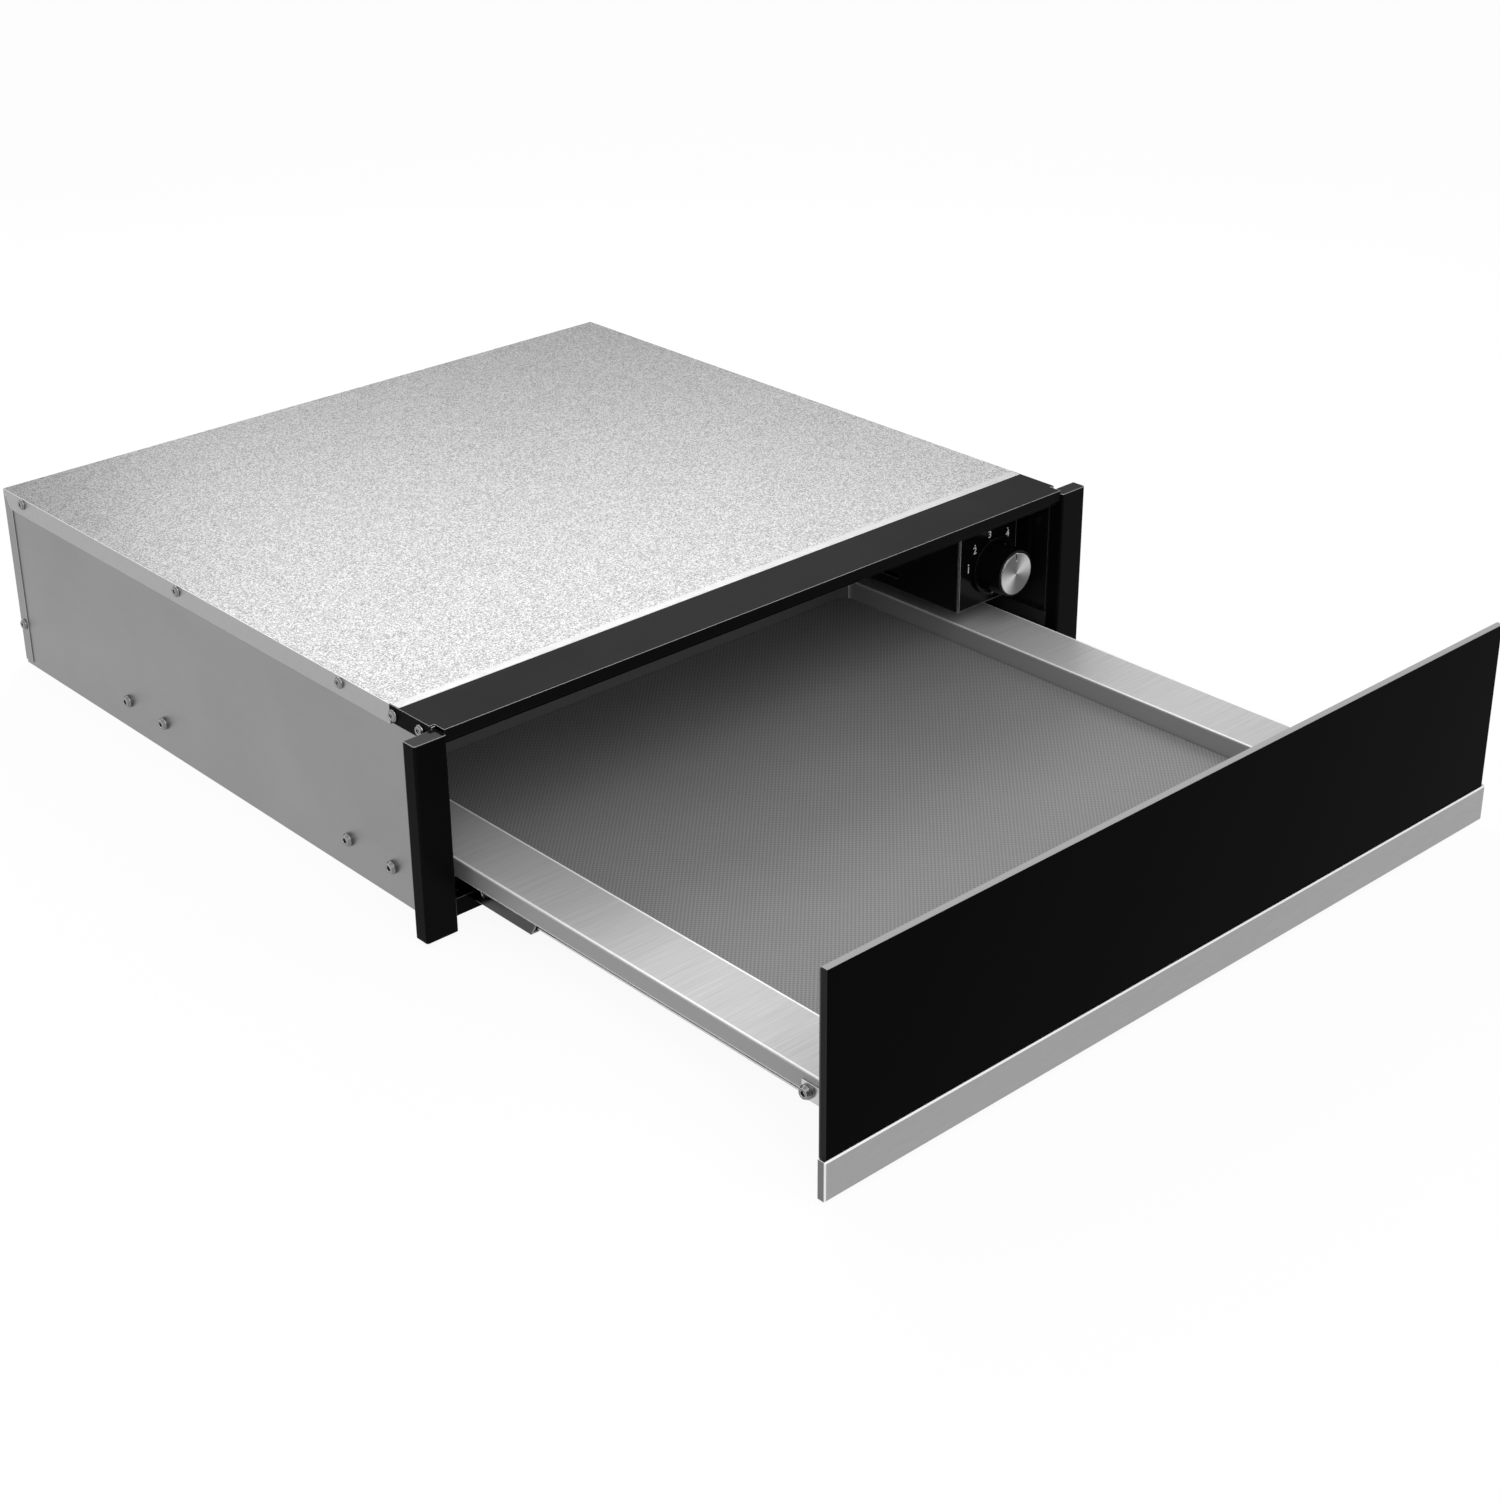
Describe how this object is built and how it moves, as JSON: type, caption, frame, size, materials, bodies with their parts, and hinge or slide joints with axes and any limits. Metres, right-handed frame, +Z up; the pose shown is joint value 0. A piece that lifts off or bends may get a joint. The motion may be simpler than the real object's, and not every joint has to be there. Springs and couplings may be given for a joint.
{
  "type": "built-in warming drawer",
  "caption": "Low built-in warming drawer drawn open: zinc-coated case, black front frame, steel tray with mat on ball-bearing slides, black glass front, rotary knob in a control box.",
  "frame": {"origin": "middle of the case's footprint, on its underside", "axes": "+X to the right seen from the front, +Y from the front into the cabinet, +Z up"},
  "size_m": [0.594, 0.8885, 0.144],
  "materials": {
    "case_steel": "smooth satin zinc-coated sheet",
    "cover_steel": "zinc-coated sheet with a fine speckle",
    "rail_paint": "satin dark grey",
    "black_paint": "semi-gloss black",
    "liner_paint": "gloss black",
    "inner_steel": "plain zinc-coated sheet",
    "stainless": "brushed across the front",
    "trim_stainless": "satin, brushed lengthwise",
    "zinc": "bright zinc plating",
    "cage_steel": "plain strip",
    "ball_steel": "polished",
    "mat_silicone": "matt with a fine rib",
    "front_glass": "black, polished, ground edges",
    "carrier_paint": "satin dark grey",
    "black_plastic": "matt moulded",
    "gloss_black": "high gloss",
    "knob_metal": "turned face, polished edge",
    "fan_steel": "plain sheet",
    "motor_paint": "satin grey",
    "heater_steel": "heat-tinted tube",
    "terminal_white": "off-white moulded"
  },
  "bodies": {
    "case": {"base_pan": "case_steel", "left_side_panel": "case_steel", "right_side_panel": "case_steel", "top_cover": "cover_steel", "rear_panel": "case_steel", "cover_screws": "zinc", "frame_top_rail": "rail_paint", "frame_bottom_rail": "black_paint", "frame_left_post": "black_paint", "frame_right_post": "black_paint", "frame_screws": "zinc", "slide_screws": "zinc", "slide_bushes": "black_plastic", "left_cabinet_member": "zinc", "right_cabinet_member": "zinc", "inner_ceiling": "inner_steel", "inner_rear_wall": "inner_steel", "left_liner": "liner_paint", "right_liner": "liner_paint", "control_housing": "liner_paint", "control_fascia": "gloss_black", "knob_bezel": "gloss_black", "selector_switch": "black_plastic", "fan_housing": "fan_steel", "fan_motor": "motor_paint", "heating_element": "heater_steel", "thermal_cutout": "black_plastic", "terminal_block": "terminal_white", "cord_gland": "black_plastic", "latch_housing": "black_plastic"},
    "drawer": {"tray": "stainless", "tray_mat": "mat_silicone", "left_runner_bracket": "zinc", "right_runner_bracket": "zinc", "front_carrier": "carrier_paint", "glass_panel": "front_glass", "front_trim": "trim_stainless", "left_front_bracket": "zinc", "right_front_bracket": "zinc", "bracket_screws": "zinc", "left_drawer_member": "zinc", "right_drawer_member": "zinc", "latch_strike": "zinc"},
    "left_middle": {"left_middle_member": "zinc"},
    "right_middle": {"right_middle_member": "zinc"},
    "left_outer_balls_and_cage": {"left_outer_cage": "cage_steel", "left_outer_balls": "ball_steel"},
    "right_outer_balls_and_cage": {"right_outer_cage": "cage_steel", "right_outer_balls": "ball_steel"},
    "left_inner_balls_and_cage": {"left_inner_cage": "cage_steel", "left_inner_balls": "ball_steel"},
    "right_inner_balls_and_cage": {"right_inner_cage": "cage_steel", "right_inner_balls": "ball_steel"},
    "knob": {"knob_body": "gloss_black", "knob_cap": "knob_metal", "knob_spindle": "zinc"},
    "fan": {"fan_impeller": "fan_steel"},
    "plunger": {"latch_plunger": "terminal_white"}
  },
  "joints": [
    {"name": "drawer_slide", "type": "slide", "parent": "case", "child": "drawer", "axis": [0, -1, 0], "range_m": [-0.335, 0.065]},
    {"name": "left_middle_slide", "type": "slide", "parent": "case", "child": "left_middle", "axis": [0, -1, 0], "range_m": [-0.1005, 0.0195]},
    {"name": "left_outer_cage_slide", "type": "slide", "parent": "case", "child": "left_outer_balls_and_cage", "axis": [0, -1, 0], "range_m": [-0.05025, 0.00975]},
    {"name": "left_inner_cage_slide", "type": "slide", "parent": "case", "child": "left_inner_balls_and_cage", "axis": [0, -1, 0], "range_m": [-0.21775, 0.04225]},
    {"name": "right_middle_slide", "type": "slide", "parent": "case", "child": "right_middle", "axis": [0, -1, 0], "range_m": [-0.1005, 0.0195]},
    {"name": "right_outer_cage_slide", "type": "slide", "parent": "case", "child": "right_outer_balls_and_cage", "axis": [0, -1, 0], "range_m": [-0.05025, 0.00975]},
    {"name": "right_inner_cage_slide", "type": "slide", "parent": "case", "child": "right_inner_balls_and_cage", "axis": [0, -1, 0], "range_m": [-0.21775, 0.04225]},
    {"name": "knob_turn", "type": "hinge", "parent": "case", "child": "knob", "pos_m": [0.24, -0.242, 0.082], "axis": [0, 1, 0], "range_deg": [-165, 35]},
    {"name": "fan_spin", "type": "hinge", "parent": "case", "child": "fan", "pos_m": [0.222, -0.142, 0.0924], "axis": [1, 0, 0], "continuous": true},
    {"name": "latch_press", "type": "slide", "parent": "case", "child": "plunger", "axis": [0, 1, 0], "range_m": [0, 0.0055], "stiffness_N_per_m": 400}
  ],
  "couplings": [
    {"joint": "left_middle_slide", "follows": "drawer_slide", "ratio": 0.3},
    {"joint": "left_outer_cage_slide", "follows": "drawer_slide", "ratio": 0.15},
    {"joint": "left_inner_cage_slide", "follows": "drawer_slide", "ratio": 0.65},
    {"joint": "right_middle_slide", "follows": "drawer_slide", "ratio": 0.3},
    {"joint": "right_outer_cage_slide", "follows": "drawer_slide", "ratio": 0.15},
    {"joint": "right_inner_cage_slide", "follows": "drawer_slide", "ratio": 0.65}
  ]
}
